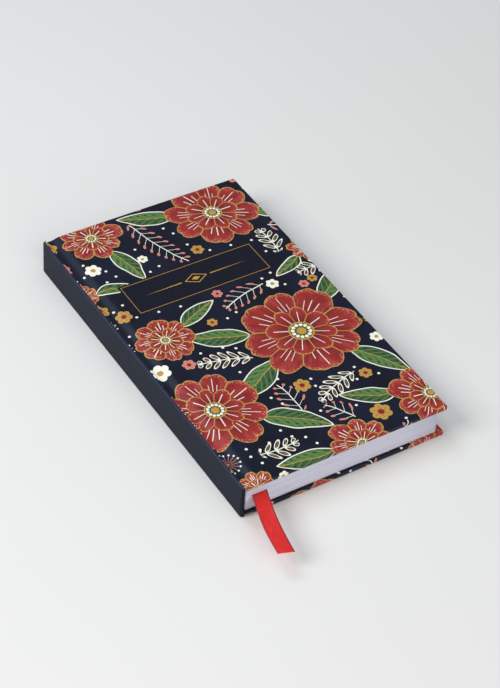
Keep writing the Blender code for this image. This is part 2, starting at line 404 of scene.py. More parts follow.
def spine_ring(rounded, ledge):
    """Ring in reach and z: half the face, shoulder, tilted ridge and ledge, then their mirror image.

    Rounded is 1 on the end face, where the ring is drawn in most, and 0 past the end's quarter circle.
    """
    high = THICK - EDGE * rounded
    ridge = CREASE_PLACES[0]
    seam_high, slab_high = high - RIDGE_TILT * (ridge - np.array((SEAM, SPINE_SLAB)))
    bend = high - RIDGE_TILT * (ridge - SHOULDER) - SHOULDER * math.hypot(1.0, RIDGE_TILT)
    last = 90.0 + math.degrees(math.atan(RIDGE_TILT))
    face = np.stack((np.zeros(8), np.linspace(0.5 * THICK, bend, 9)[:-1]), axis=1)
    shoulder = arc_points((SHOULDER, bend), SHOULDER, 180, last, 9)
    seam = SEAM - LEDGE_PLAY
    top = np.array(((seam, seam_high), (seam, seam_high - ledge), (SPINE_SLAB, slab_high - ledge)))
    upper = np.concatenate((face, shoulder, top))
    upper[:, 0] += SPINE_END * rounded * (1.0 - upper[:, 0] / SPINE_SLAB)
    lower = upper[::-1] * (1.0, -1.0) + (0.0, THICK)
    return np.concatenate((upper, lower, upper[:1]))


def spine_grids():
    """Rings along y, with the quarter circle at the ends, and a fan of rings that closes each end."""
    sheet_end = math.acos(1.0 - EDGE / SPINE_END)
    angle = np.concatenate((np.linspace(0.0, sheet_end, END_RINGS),
                            np.linspace(sheet_end + 0.005, 0.5 * np.pi, END_RINGS)))
    back = SPINE_END * (1.0 - np.cos(angle))
    rounded = 1.0 - np.sin(angle)
    middle = np.linspace(-HALF + SPINE_END, HALF - SPINE_END, MIDDLE_RINGS + 2)[1:-1]
    y = np.concatenate((-HALF + back, middle, (HALF - back)[::-1]))
    rounded = np.concatenate((rounded, np.zeros(MIDDLE_RINGS), rounded[::-1]))
    bare_end = np.zeros(END_RINGS)
    ledge = np.concatenate((bare_end, np.full(2 * END_RINGS + MIDDLE_RINGS, LEDGE), bare_end))
    line = np.stack([spine_ring(*pair) for pair in zip(rounded, ledge)])
    body = to_frame(line[..., 0], y[:, None], line[..., 1])
    grids = [body]
    for ring in (body[0], body[-1]):
        centre = ring[:-1].mean(axis=0, keepdims=True)
        grids.append(np.stack((ring, 0.5 * (ring + centre), np.repeat(centre, len(ring), 0))))
    return grids


spine_slab = piece_from_grids("spine_paper", spine_grids(), closed=True)
spine_slab.data.set_sharp_from_angle(angle=SHARP_ANGLE)
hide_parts("spine_wrap")
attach(spine_slab, "spine")

# %% [markdown]
# ## Boards under the print
# The greyboard inside each cover is pressed thin along the crease, so that the paper slopes down
# to it. The strip inside the spine has round corners, to fit the round ends of its paper. The solids
# could stay, but their square edges would come through the paper. A board is a slab between two
# paths: a cover's upper path keeps a paper's thickness below the print and its lower path is flat.

# %% Boards of the covers and the spine
BOARD_DEPTH = 0.23
COVER_EASE = 0.12
STRIP_EASE = 0.45
SLOPE_POINTS = 15


def slab_grids(outer, inner, half):
    """Closed loop of an outer and an inner path, carried from tail to head and closed at both."""
    loop = np.concatenate((outer, inner[::-1], outer[:1]))
    y = np.array((-half, half))
    walls = to_frame(loop[None, :, 0], y[:, None], loop[None, :, 1])
    ends = [to_frame(np.stack((outer[:, 0], inner[:, 0])), side, np.stack((outer[:, 1], inner[:, 1])))
            for side in y]
    return [walls] + ends


def ease_board(node, body, paths, half, ease_width):
    """Board between two paths, with its corners eased."""
    board = piece_from_grids(node + "_pressed", slab_grids(*paths, half), closed=True)
    board.data.shade_flat()
    ease = board.modifiers.new("eased", 'BEVEL')
    ease.width = ease_width * MM
    ease.segments = 3
    ease.limit_method = 'ANGLE'
    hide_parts(node)
    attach(board, body)
    return board


def cover_board(node, body, height):
    """Board of one cover, with its spine edge sloped to follow the crease."""
    low, high = node_box(node)
    start, end = low[0] - SPINE_FACE, high[0] - SPINE_FACE
    reach = np.append(np.linspace(start, CREASE_PLACES[3], SLOPE_POINTS), end)
    upper = np.interp(reach, *cover_profile()[:2]) + BOARD_DEPTH
    lower = np.full(len(reach), COVER - BOARD_DEPTH)
    paths = [np.stack((reach, height(depth)), axis=1) for depth in (upper, lower)]
    return ease_board(node, body, paths, high[1], COVER_EASE)


def strip_board(node, body):
    """Board strip of the spine, with round corners to fit the round ends of its paper."""
    low, high = node_box(node)
    paths = [np.array(((x, low[2]), (x, high[2]))) for x in (low[0] - SPINE_FACE, high[0] - SPINE_FACE)]
    return ease_board(node, body, paths, high[1], STRIP_EASE)


boards = [cover_board("front_board", "front_cover", front_height),
          cover_board("back_board", "back_cover", back_height), strip_board("spine_board", "spine")]

# %% [markdown]
# ## Sections of folded leaves
# A section is a few sheets folded together, one inside the other, so its spine edge shows round
# folds and its cut edges show single leaves. A striped box could pass for it from afar, but not up
# close. Each sheet is a U: an outer path and an inner path a paper's thickness apart, carried from
# tail to head. Trimming is never perfect, so every leaf is a few hundredths of a millimetre longer or
# shorter, by a sine of its number.

# %% Leaves of all the sections
SECTION_COUNT = 12
SHEETS = 4
LEAF = SECTION / (2 * SHEETS)
LEAF_GAP = 0.014
FORE_TRIM = 0.035
TAIL_TRIM = 0.045
FORE_ROOM = 0.04
TAIL_ROOM = 0.05
FORE_WAVE = 12.9898
TAIL_WAVE = 78.233
SHEET_STRIDE = 7


def folded_sheet(middle, turn_radius, number):
    """Grids of one folded sheet: a slab between an outer and an inner U, its edges off by a sine."""
    centre = PAGE_IN + 0.5 * SECTION
    fore = PAGE_OUT - FORE_ROOM + FORE_TRIM * np.sin(FORE_WAVE * number)
    tail = HALF_PAGE - TAIL_ROOM + TAIL_TRIM * np.sin(TAIL_WAVE * number + 1.0)
    arms = np.linspace(fore, centre, 6)

    def path(radius):
        top = np.stack((arms, np.full(6, middle + radius)), axis=1)
        fold = arc_points((centre, middle), radius, 90, 270, 9)[1:-1]
        low = np.stack((arms[::-1], np.full(6, middle - radius)), axis=1)
        return np.concatenate((top, fold, low))

    return slab_grids(path(turn_radius), path(turn_radius - LEAF + LEAF_GAP), tail)


def fold_section(number):
    """Nested sheets of one section, as one piece."""
    low, high = node_box("section_%02d" % number)
    middle = 0.5 * (low[2] + high[2])
    grids = []
    for sheet in range(SHEETS):
        grids += folded_sheet(middle, 0.5 * SECTION - sheet * LEAF, SHEET_STRIDE * number + sheet)
    return piece_from_grids("leaves_%02d" % number, grids, closed=True)


node_bodies = {name: body for body, names in frame["record"]["behaviour"]["bodies"].items()
               for name in names}
sections = []
for number in range(1, SECTION_COUNT + 1):
    node = "section_%02d" % number
    leaves = fold_section(number)
    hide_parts(node)
    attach(leaves, node_bodies[node])
    sections.append(leaves)

# %% [markdown]
# ## Shader maths as Python
# A pattern is a sum of small formulas. Its nodes could be wired one by one in the editor. Wrapping a
# node's output in a class with operators lets the formulas be written as plain expressions instead,
# and each operator adds its Math node.

# %% Expression class
SOFT_BORDER = 0.06


class Field:
    """A value that varies over a surface."""

    def __init__(self, finish, socket):
        self.finish = finish
        self.socket = socket

    def math(self, operation, *others):
        values = {k + 1: other for k, other in enumerate(others)}
        return self.finish.node("ShaderNodeMath", {"operation": operation}, {0: self, **values})

    def __add__(self, other):
        return self.math('ADD', other)

    def __sub__(self, other):
        return self.math('SUBTRACT', other)

    def __rsub__(self, other):
        return (self * -1.0) + other

    def __mul__(self, other):
        return self.math('MULTIPLY', other)

    def __truediv__(self, other):
        return self.math('DIVIDE', other)

    def __pow__(self, other):
        return self.math('POWER', other)

    def __lt__(self, other):
        return self.math('LESS_THAN', other)

    def __gt__(self, other):
        return self.math('GREATER_THAN', other)

    def __abs__(self):
        return self.math('ABSOLUTE')

    __radd__ = __add__
    __rmul__ = __mul__

    def sin(self):
        return self.math('SINE')

    def cos(self):
        return self.math('COSINE')

    def fract(self):
        return self.math('FRACT')

    def floor(self):
        return self.math('FLOOR')

    def smaller(self, other):
        return self.math('MINIMUM', other)

    def larger(self, other):
        return self.math('MAXIMUM', other)

    def step(self, low, high):
        """Smooth step from 0 at low to 1 at high."""
        return self.finish.node("ShaderNodeMapRange", {"interpolation_type": 'SMOOTHSTEP'},
                                {0: self, 1: low, 2: high})

    def filled(self, soft=SOFT_BORDER):
        """1 where the value is above zero, with a soft border."""
        return self.step(-soft, soft)

    def line(self, half_width, soft=SOFT_BORDER):
        """1 where the value is within half_width of zero, with a soft border."""
        return 1.0 - abs(self).step(half_width - soft, half_width + soft)


# %% [markdown]
# A finish is one Principled material. All its nodes come from a single method, which sets a node's
# options first and then its sockets, so that every pattern below reads as a list of steps.

# %% Finish builder
KIND_STEP = 100.0


class Finish:
    """A Principled material under construction."""

    def __init__(self, name, **constants):
        self.material = bpy.data.materials.new(name)
        self.material.use_nodes = True
        self.tree = self.material.node_tree
        self.shader = self.tree.nodes["Principled BSDF"]
        for socket, value in constants.items():
            self.shader.inputs[socket.replace("_", " ")].default_value = value

    def node(self, kind, settings=None, inputs=None, output=0):
        """Add a node: settings first, then the values or links of its sockets."""
        made = self.tree.nodes.new(kind)
        for key, value in (settings or {}).items():
            setattr(made, key, value)
        for key, value in (inputs or {}).items():
            self.feed(made.inputs[key], value)
        return Field(self, made.outputs[output])

    def feed(self, socket, value):
        """Link a Field to a socket, or set the socket's own value."""
        if isinstance(value, Field):
            self.tree.links.new(value.socket, socket)
        else:
            socket.default_value = value

    def mix(self, below, over, mask):
        """Colour over a colour where the mask is 1."""
        return self.node("ShaderNodeMix", {"data_type": 'RGBA'}, {0: mask, 6: below, 7: over}, 2)

    def split(self, vector):
        """The three parts of a vector."""
        parts = self.node("ShaderNodeSeparateXYZ", None, {0: vector}).socket.node
        return [Field(self, parts.outputs[k]) for k in range(3)]

    def place(self):
        """Object coordinates as three values in millimetres."""
        found = self.node("ShaderNodeTexCoord", None, None, "Object")
        return [part * (1.0 / MM) for part in self.split(found)]

    def sheet_place(self):
        """Flat place on the piece's own sheet, in millimetres."""
        return self.split(self.node("ShaderNodeUVMap", {"uv_map": "sheet"}))[:2]

    def motif(self, name):
        """Place within a motif, in millimetres, its size and its kind."""
        found = self.node("ShaderNodeAttribute", {"attribute_name": name}, None, "Vector")
        u, v, code = self.split(found)
        kind = (code * (1.0 / KIND_STEP)).floor()
        return u, v, code - kind * KIND_STEP, kind

    def point(self, x, y, z=0.0):
        """Vector from three values."""
        return self.node("ShaderNodeCombineXYZ", None, {0: x, 1: y, 2: z})

    def noise(self, vector, scale, detail=2.0, roughness=0.5):
        """Noise between 0 and 1 with features 1/scale apart."""
        return self.node("ShaderNodeTexNoise", None, {"Vector": vector, "Scale": scale,
                                                      "Detail": detail, "Roughness": roughness})

    def set(self, socket, value):
        """Feed one of the shader's sockets."""
        self.feed(self.shader.inputs[socket], value)

    def bump(self, height, distance):
        """Surface relief of a height field in millimetres times distance."""
        relief = self.node("ShaderNodeBump", None, {"Height": height, "Distance": distance * MM,
                                                    "Strength": 1.0})
        self.set("Normal", relief)


# %% [markdown]
# Inks are written as a printer reads them off a screen, from 0 to 255. Blender mixes light, so each
# is turned into a linear colour once, here, and not again in every finish.

# %% Inks, and a way to dress pieces
def ink(red, green, blue):
    """Linear colour of an sRGB colour given as 0 to 255."""
    value = np.array((red, green, blue)) / 255.0
    linear = np.where(value <= 0.04045, value / 12.92, ((value + 0.055) / 1.055) ** 2.4)
    return (*(float(part) for part in linear), 1.0)


def dress(pieces, finish):
    """Give pieces or CAD nodes one material."""
    for made in pieces:
        made.data.materials.clear()
        made.data.materials.append(finish.material)
    print(finish.material.name, len(finish.tree.nodes), "nodes, pieces:", len(pieces))


NAVY = ink(10, 15, 31)
MIDNIGHT = ink(17, 24, 47)
CORAL = ink(156, 47, 43)
CRIMSON = ink(134, 33, 36)
MAROON = ink(100, 24, 36)
ROSE = ink(184, 84, 80)
GOLD = ink(190, 147, 70)
CREAM = ink(245, 243, 226)
LEAF_GREEN = ink(82, 118, 64)
DEEP_GREEN = ink(44, 78, 51)
PALE_GREEN = ink(128, 160, 96)
PINK = ink(212, 134, 118)
APRICOT = ink(226, 160, 120)
OLIVE = ink(92, 92, 44)
LEAF_DOT = ink(26, 44, 44)

# %% [markdown]
# ## Layout of the print
# The print is a wallpaper of blooms, leaves, feathery sprigs and small flowers on navy, of the
# builder's own design. It could be a picture on the sheet, but motifs drawn by formula stay sharp at
# any size. A list places the blooms and the leaves that grow out of them. The rest fills the gaps
# along a low-discrepancy sequence, which spreads points evenly without any chance. Every motif keeps
# clear of the others on its own layer, so each face of the sheet belongs to at most one motif a layer
# and can carry that motif's own coordinates to the shader.

# %% Blooms, leaves and plate, in millimetres on the flat sheet
PLATE_CENTRE = np.array((47.65, 32.5))
PLATE_HALF = np.array((32.55, 9.2))
PLATE_ROOM = 1.3
# Reach, y and size of each bloom
BLOOMS = np.array([
    (77, 68, 22), (70, -18, 28), (13, -42, 23), (16, 4, 14), (97, -75, 18), (56, -86, 15),
    (20, 77, 15), (103, 28, 10), (6, -87, 10), (-2, 45, 8),
], float)
# Bloom, direction in degrees and size of each leaf
SHOOTS = [
    (0, 160, 13), (0, 335, 12), (1, 158, 14), (1, 207, 15), (1, 303, 14), (1, 34, 14), (2, 322, 15),
    (2, 62, 11), (3, 22, 11), (4, 154, 12), (5, 172, 13), (6, 283, 12), (7, 205, 9), (9, 350, 9),
]
LEAF_ROOT = 0.80
SLIM = 0.42
print(len(BLOOMS), "blooms and", len(SHOOTS), "leaves wanted")

# %% [markdown]
# A motif is a row of reach, y, size, angle and kind, and fills an ellipse of that size. The ellipses
# could be drawn and compared as pictures; distances in units of their sizes do it with arrays.

# %% Distances between motifs
def seen_from(points, motifs):
    """Points seen from their motifs: moved to the centre, then turned back by the angle."""
    angle = np.radians(motifs[..., 3])
    away = points - motifs[..., :2]
    return (away[..., 0] * np.cos(angle) + away[..., 1] * np.sin(angle),
            away[..., 1] * np.cos(angle) - away[..., 0] * np.sin(angle))


def nearness(points, motifs, slim):
    """Distance of points from motifs in units of their sizes, the across direction made slimmer."""
    along, across = seen_from(points[:, None], motifs[None])
    return np.hypot(along, across / slim) / motifs[:, 2]


def outline_points(motif, slim):
    """Points on and inside a motif's own ellipse, to test it against others."""
    angle = np.linspace(0.0, 2.0 * np.pi, 24, endpoint=False)
    ring = np.stack((np.cos(angle), slim * np.sin(angle)), axis=1) * motif[2]
    ring = np.concatenate((ring, 0.5 * ring, np.zeros((1, 2))))
    turn = math.radians(motif[3])
    turned = np.stack((ring[:, 0] * math.cos(turn) - ring[:, 1] * math.sin(turn),
                       ring[:, 0] * math.sin(turn) + ring[:, 1] * math.cos(turn)), axis=1)
    return turned + motif[:2]


# %% [markdown]
# Motifs settle in turn, the large ones first, and one that finds no room is dropped. The sprigs keep
# off the crease as well, because thin lines would break up in it.

# %% Layers of the print
LAYOUT_LOW = np.array((-6.0, -104.0))
LAYOUT_SIZE = np.array((124.0, 208.0))
R2_STEPS = np.array((0.7548776662, 0.5698402910))
GOLDEN_TURN = 137.508
SPRIG_SIZES = (18.0, 15.0, 12.0, 9.0, 7.0)
FLOWER_SIZES = (5.0, 4.0, 3.2, 2.6)
HEAD_SIZE = 6.2
# A long thin ellipse over the crease, written as one motif and its slimness
CREASE_BAND = (np.array([(2.0, 0.0, 120.0, 90.0, 0.0)]), 0.05)
BACK_SHIFT = 12.0


def settle(wanted, slim, margin, covers, most_hidden):
    """Keep each wanted motif that is clear of those kept before it and mostly on bare ground."""
    kept = np.zeros((0, 5))
    for motif in wanted:
        points = outline_points(motif, slim)
        hidden = (np.abs(points - PLATE_CENTRE) - PLATE_HALF).max(axis=1) < PLATE_ROOM
        for motifs, other_slim in covers:
            hidden |= (nearness(points, motifs, other_slim) < 1.0).any(axis=1)
        if hidden.mean() <= most_hidden and (nearness(points, kept, slim) > margin).all():
            kept = np.vstack((kept, motif))
    return kept


def spread(sizes, kinds, start):
    """Motifs along the R2 sequence: each coordinate is the fraction of a multiple of a fixed number."""
    order = np.arange(len(sizes)) + start
    place = LAYOUT_LOW + LAYOUT_SIZE * np.modf(order[:, None] * R2_STEPS)[0]
    return np.column_stack((place, sizes, GOLDEN_TURN * order % 360.0, np.take(kinds, order % len(kinds))))


def lay_out():
    """All layers of the print, as motifs and slimness by name."""
    count = np.arange(len(BLOOMS))
    blooms = np.column_stack((BLOOMS, count * 19.0, count % 2))
    shoots = []
    for owner, degrees, size in SHOOTS:
        way = np.array((math.cos(math.radians(degrees)), math.sin(math.radians(degrees))))
        centre = BLOOMS[owner, :2] + way * (LEAF_ROOT * BLOOMS[owner, 2] + size)
        shoots.append((*centre, size, degrees, len(shoots) % 2))
    leaves = settle(np.array(shoots, float), SLIM, 1.1, [], 1.0)
    covers = [(blooms, 1.0), (leaves, SLIM)]
    long = spread(np.repeat(SPRIG_SIZES, 300), (0, 1, 0), 3)
    sprigs = settle(long, SLIM, 1.08, covers + [CREASE_BAND], 0.10)
    covers.append((sprigs, SLIM))
    heads = spread(np.full(200, HEAD_SIZE), (3,), 11)
    flowers = spread(np.repeat(FLOWER_SIZES, 400), (0, 1, 2, 0, 2, 1), 29)
    specks = spread(np.full(700, 1.0), (4,), 57)
    small = settle(np.concatenate((heads, flowers, specks)), 1.0, 1.12, covers, 0.0)
    return {"bloom": (blooms, 1.0), "leaf": (leaves, SLIM), "sprig": (sprigs, SLIM), "small": (small, 1.0)}


def turned_over(layers):
    """The same layers turned half round, for the back cover's sheet."""
    turned = {}
    for name, (motifs, slim) in layers.items():
        x, y, size, angle, kind = motifs.T
        turned[name] = (np.column_stack((WIDTH + BACK_SHIFT - x, -y, size, angle + 180.0, kind)), slim)
    return turned


# %% [markdown]
# Each face finds its nearest motif on every layer. Its corners keep their place within that motif,
# in millimetres, together with the motif's size and kind. A shader could look for the motif itself,
# but it would need a node for every motif.

# %% Motif coordinates on the faces
def carry_motifs(sheet, layers):
    """Store each corner's place within the motif nearest to its face."""
    mesh = sheet.data
    flat = np.empty(2 * len(mesh.loops), np.float32)
    mesh.uv_layers["sheet"].data.foreach_get("uv", flat)
    flat = flat.reshape(-1, 2).astype(float)
    starts = np.empty(len(mesh.polygons), int)
    totals = np.empty(len(mesh.polygons), int)
    mesh.polygons.foreach_get("loop_start", starts)
    mesh.polygons.foreach_get("loop_total", totals)
    owner = np.repeat(np.arange(len(mesh.polygons)), totals)
    middle = np.add.reduceat(flat, starts, axis=0) / totals[:, None]
    for name, (motifs, slim) in layers.items():
        own = motifs[nearness(middle, motifs, slim).argmin(axis=1)[owner]]
        seen = np.column_stack((*seen_from(flat, own), own[:, 2] + KIND_STEP * own[:, 4]))
        layer = mesh.attributes.new(name, 'FLOAT_VECTOR', 'CORNER')
        layer.data.foreach_set("vector", seen.astype(np.float32).ravel())
        print(sheet.name, name, len(motifs))


front_layers = lay_out()
carry_motifs(front_sheet, front_layers)
carry_motifs(back_sheet, turned_over(front_layers))

# %% [markdown]
# ## Printed paper
# The print is built from the ground up, as a screen printer lays one ink over another: navy, then
# sprigs, leaves, small flowers and blooms. Each layer turns its motif's own coordinates into masks.
# A sprig bends its coordinates along a curved stem and cuts them into slanted leaflets.

# %% Sprigs
def draw_sprig(finish, ground, wobble):
    """Curved stem with slanted leaflets, drawn as cream outlines or as stalks with berries."""
    u, v, size, kind = finish.motif("sprig")
    x = u / size
    y = v - x * x * size * 0.10 + wobble * 0.4
    side = abs(y)
    inside = (1.0 - abs(x)).step(0.0, 0.03)
    stem = y.line(0.24) * inside
    slanted = ((u - side * 0.75) * (1.0 / 4.0)).fract() * 4.0 - 2.0
    long = (1.0 - x * x) * 3.6 + 1.2
    oval = (((side - long * 0.5 - 0.25) / (long * 0.5)) ** 2.0 + (slanted / 1.25) ** 2.0) ** 0.5
    loop = (oval - 0.86).line(0.17, 0.05) * inside
    vein = slanted.line(0.13) * (0.75 - oval).step(0.0, 0.05) * inside
    stalk = slanted.line(0.13) * (long - side).step(0.0, 0.2) * inside
    berry = (((side - long) ** 2.0 + slanted * slanted) ** 0.5 - 0.85) * -1.0
    berry = berry.filled() * inside
    berried = kind > 0.5
    lines = stem.larger(loop * (1.0 - berried)).larger(stalk * berried)
    ground = finish.mix(ground, CREAM, lines)
    ground = finish.mix(ground, GOLD, vein * (1.0 - berried))
    return finish.mix(ground, PINK, berry * berried)


# %% [markdown]
# A leaf is a bent lance. Its distance from the edge is known everywhere, so the outline, the shade
# along it and the body all come from that one value.

# %% Leaves
def draw_leaf(finish, ground, wobble):
    """Lance leaf: half width falls to nothing at both tips, with slanted veins and a cream edge."""
    u, v, size = finish.motif("leaf")[:3]
    x = u / size
    y = v - (1.0 - x * x) * size * 0.07 + wobble * 0.5
    half = ((1.0 - x * x).larger(0.0) ** 0.8) * (1.0 - x * 0.28) * size * 0.36
    inside = half - abs(y)
    body = inside.filled() * (1.0 - abs(x)).step(0.0, 0.03)
    slant = (u * 0.62 - abs(y) * 0.85) * 0.42
    vein = (slant.fract() - 0.5).line(0.07, 0.04)
    dot = (((slant + 0.5).fract() - 0.5) * 2.4) ** 2.0 + (abs(y) - half * 0.55) ** 2.0
    shade = finish.mix(LEAF_GREEN, DEEP_GREEN, (y * 0.9).step(-0.3, 0.3) * 0.75)
    shade = finish.mix(shade, PALE_GREEN, vein * 0.6)
    shade = finish.mix(shade, LEAF_DOT, (0.16 - dot).filled(0.05) * 0.9)
    shade = finish.mix(shade, DEEP_GREEN, (1.0 - inside.step(0.2, 1.6)) * 0.45)
    ground = finish.mix(ground, shade, body)
    ground = finish.mix(ground, GOLD, y.line(0.19) * body)
    return finish.mix(ground, CREAM, (inside - 0.12).line(0.29) * (1.03 - abs(x)).step(0.0, 0.03))


# %% [markdown]
# The small flowers are drawn in polar form: the whole turn is cut into equal parts, so that one petal
# or one ray makes them all. The motif's kind picks its form and its inks.

# %% Small flowers, seed heads and specks
TURN = 2.0 * math.pi


def polar(u, v):
    """Distance and turn, in whole turns, of a motif's coordinates."""
    return (u * u + v * v) ** 0.5, v.math('ARCTAN2', u) * (1.0 / TURN)


def draw_small(finish, ground):
    """Six round petals about a button, in cream, gold or pink, a head of seeds, or a single speck."""
    u, v, size, kind = finish.motif("small")
    radius, turn = polar(u, v)
    angle = ((turn * 6.0).fract() - 0.5) * (TURN / 6.0)
    along = radius * angle.cos() - size * 0.60
    petal = (size * 0.35 - (along * along + (radius * angle.sin()) ** 2.0) ** 0.5).filled()
    crease = (radius * angle.sin()).line(0.10) * (size * 0.75 - radius).step(0.0, 0.4)
    button = (size * 0.27 - radius).filled()
    speck = (0.62 - radius).filled()
    side = ((turn * 15.0).fract() - 0.5) * (TURN / 15.0) * radius
    ray = side.line(0.10) * (size * 0.78 - radius).step(0.0, 0.1) * (radius - size * 0.20).step(0.0, 0.1)
    seed = (0.42 - ((radius - size * 0.84) ** 2.0 + side * side) ** 0.5).filled()
    is_gold = (kind - 1.0).line(0.5, 0.01)
    is_pink = (kind - 2.0).line(0.5, 0.01)
    is_head = (kind - 3.0).line(0.5, 0.01)
    is_speck = kind > 3.5
    flower = kind < 2.5
    colour = finish.mix(finish.mix(CREAM, GOLD, is_gold), PINK, is_pink)
    colour = finish.mix(colour, CRIMSON, crease * (is_gold + is_pink) * 0.8)
    heart = finish.mix(GOLD, CRIMSON, (is_gold + is_pink).smaller(1.0))
    ground = finish.mix(ground, colour, petal * flower)
    ground = finish.mix(ground, heart, button * flower)
    ground = finish.mix(ground, PINK, ray * is_head)
    ground = finish.mix(ground, CREAM, seed * is_head)
    ground = finish.mix(ground, GOLD, (0.75 - radius).filled() * is_head)
    return finish.mix(ground, CREAM, speck * is_speck)


# %% [markdown]
# A bloom has two rows of petals. Equal parts of a turn alone would look stamped, so every petal gets
# its own length and lean from a white noise of its number, and a noise along its length gives the
# brush strokes. The rim is a power of the distance from the petal's middle.

# %% Blooms
def draw_bloom(finish, ground, wobble, stipple):
    """Double rosette: eight uneven petals with gold rims, eight shorter ones between them, a button."""
    u, v, size = finish.motif("bloom")[:3]
    radius, turn = polar(u, v)
    share = radius / size
    wave = turn * 8.0 + ((turn * (3.0 * TURN) + size).sin()) * 0.10
    outer = wave.fract() - 0.5
    between = (wave + 0.5).fract() - 0.5
    petal_number = wave.floor() + (size * 7.0).math('ROUND')
    uneven = finish.node("ShaderNodeTexWhiteNoise", {"noise_dimensions": '1D'}, {"W": petal_number})
    width = radius * (TURN / 8.0)
    apart = abs(outer) * 2.0
    rim = (1.0 - apart ** 2.4) * 0.20 + 0.76 - (1.0 - apart / 0.24).larger(0.0) * 0.035
    rim = (rim + (uneven - 0.5) * (1.0 - apart * apart) * 0.11) * size
    inside = rim + wobble - radius
    body = inside.filled()
    colour = finish.mix(CRIMSON, CORAL, share.step(0.35, 0.85))
    colour = finish.mix(colour, MAROON, (apart ** 5.0) * 0.55)
    brush = finish.noise(finish.point(u / radius * 5.0, v / radius * 5.0, radius * 0.10), 1.0, 3.0, 0.6)
    colour = finish.mix(colour, ROSE, brush.step(0.50, 0.72) * 0.5)
    colour = finish.mix(colour, MAROON, (0.50 - brush).step(0.0, 0.16) * 0.45)
    rimward = 1.0 - inside.step(0.4, 3.4)
    colour = finish.mix(colour, ROSE, rimward * 0.25)
    colour = finish.mix(colour, APRICOT, stipple * rimward * 0.9)
    fan = (0.84 - uneven * 0.10 - share).step(0.0, 0.03) * (share - 0.46).step(0.0, 0.02)
    near = (0.64 + uneven * 0.08 - share).step(0.0, 0.03) * (share - 0.46).step(0.0, 0.02)
    lean = (outer + (share - 0.5) * (uneven - 0.5) * 0.20) * width
    rays = (lean.line(0.19) * fan).larger((abs(lean) - width * 0.19).line(0.16) * near)
    colour = finish.mix(colour, CREAM, rays * 0.9)
    cleft = (width * 0.5 - abs(outer) * width).line(0.26) * (share - 0.42).step(0.0, 0.02)
    colour = finish.mix(colour, GOLD, cleft)
    colour = finish.mix(colour, GOLD, (inside - 0.22).line(0.30))
    inner_apart = abs(between) * 2.0
    inner_rim = ((1.0 - inner_apart ** 2.2) * 0.15 + 0.40) * size
    inner = inner_rim + wobble * 0.7 - radius
    petal = finish.mix(MAROON, CORAL, share.step(0.10, 0.50))
    petal = finish.mix(petal, ROSE, brush.step(0.50, 0.72) * 0.4)
    petal = finish.mix(petal, APRICOT, stipple * (1.0 - inner.step(0.2, 1.7)) * 0.9)
    petal = finish.mix(petal, CREAM, (between * width).line(0.18) * (0.44 - share).step(0.0, 0.02))
    petal = finish.mix(petal, GOLD, (width * 0.5 - abs(between) * width).line(0.18))
    petal = finish.mix(petal, GOLD, (inner - 0.20).line(0.27))
    colour = finish.mix(colour, petal, inner.filled())
    disc = (0.19 - share).filled(0.006)
    colour = finish.mix(colour, OLIVE, disc)
    bead_turn = ((turn * 12.0).fract() - 0.5) * (TURN / 12.0) * size * 0.135
    bead = (((radius - size * 0.135) ** 2.0 + bead_turn ** 2.0) ** 0.5 - size * 0.030) * -1.0
    colour = finish.mix(colour, CREAM, bead.filled(0.05))
    colour = finish.mix(colour, GOLD, (share - 0.19).line(0.014, 0.005))
    colour = finish.mix(colour, GOLD, (0.075 - share).filled(0.006))
    return finish.mix(ground, colour, body), body


# %% [markdown]
# The plate on the front cover lies over the flowers. It could be a piece of its own, but it is only
# ink, so it is drawn from the distance to its border.

# %% Plate
RULE_END = 25.0


def draw_plate(finish, ground):
    """Plate: bare navy with a thin gold frame and a plain lozenge between tapering rules."""
    x, y = finish.place()[:2]
    x = x - float(PLATE_CENTRE[0] + SPINE_FACE)
    y = y - float(PLATE_CENTRE[1])
    border = (abs(x) - float(PLATE_HALF[0])).larger(abs(y) - float(PLATE_HALF[1]))
    plate = 1.0 - border.step(0.85, 1.0)
    rule = (border + 0.20).line(0.12)
    lozenge = abs(x) * 0.42 + abs(y) * 0.75
    sign = (lozenge - 2.2).line(0.18).larger(1.0 - lozenge.step(0.85, 1.0))
    taper = abs(y) - (1.0 - abs(x) * (1.0 / RULE_END)).larger(0.0) * 0.45
    rules = (1.0 - taper.filled(0.05)) * (abs(x) - 7.0).step(0.0, 0.3)
    rules = rules * (RULE_END - abs(x)).step(0.0, 0.3)
    gold = rule.larger(sign).larger(rules)
    return finish.mix(finish.mix(ground, NAVY, plate), GOLD, gold * plate)


# %% [markdown]
# The paper has a matt film over it, so it shines softly and evenly. A coat over the shader could show
# the film, but one even gloss is closer to it. The ink has a faint mottle, and the fibres below lift
# the film slightly.

# %% Printed finish of the covers
def printed_paper(name, with_plate=False):
    """Ground, motifs and plate in order, then roughness and relief."""
    finish = Finish(name, Specular_IOR_Level=0.24)
    spot = finish.point(*finish.place())
    wobble = (finish.noise(spot, 0.15, 0.0) - 0.5) * 2.6
    grain = finish.noise(spot, 1.9, 3.0, 0.6)
    mottle = finish.noise(spot, 0.05, 3.0)
    cells = finish.node("ShaderNodeTexVoronoi", {"feature": 'F1'}, {"Vector": spot, "Scale": 1.05})
    stipple = 1.0 - cells.step(0.30, 0.42)
    colour = finish.mix(NAVY, MIDNIGHT, mottle.step(0.35, 0.65) * 0.8)
    colour = draw_sprig(finish, colour, wobble)
    colour = draw_leaf(finish, colour, wobble)
    colour = draw_small(finish, colour)
    colour, bloom = draw_bloom(finish, colour, wobble, stipple)
    if with_plate:
        colour = draw_plate(finish, colour)
    finish.set("Base Color", colour)
    finish.set("Roughness", mottle * 0.08 + grain * 0.06 + 0.34)
    finish.bump(finish.noise(spot, 2.6, 2.0) * 0.6 + bloom * 0.3, 0.012)
    return finish


dress([front_sheet], printed_paper("printed_front", with_plate=True))
dress([back_sheet], printed_paper("printed_back"))
